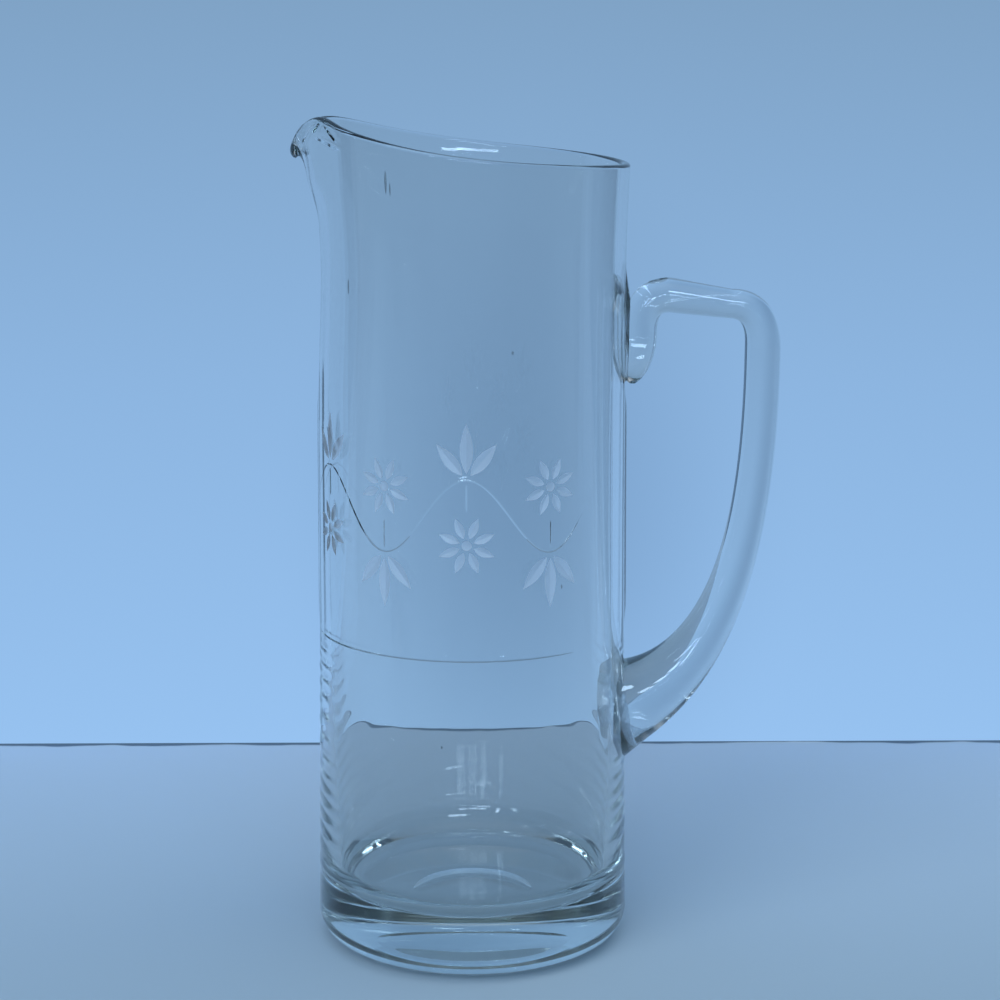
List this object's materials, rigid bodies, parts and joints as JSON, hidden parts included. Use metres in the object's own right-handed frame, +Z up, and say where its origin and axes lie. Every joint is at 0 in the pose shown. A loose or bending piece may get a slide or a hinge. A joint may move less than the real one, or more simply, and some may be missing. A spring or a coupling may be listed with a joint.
{
  "type": "glass pitcher",
  "caption": "Tall straight glass pitcher with a heavy base, a slanted rim with a pulled pouring lip, and a welded loop handle with a folded tail.",
  "frame": {"origin": "middle of the flat underside of the base", "axes": "+Z up along the body's axis, +X towards the handle, so the lip points to -X"},
  "size_m": [0.1463, 0.095, 0.2514],
  "materials": {
    "clear_glass": "clear, fire-polished"
  },
  "bodies": {
    "root": {"pitcher_body": "clear_glass", "handle": "clear_glass"}
  },
  "joints": []
}
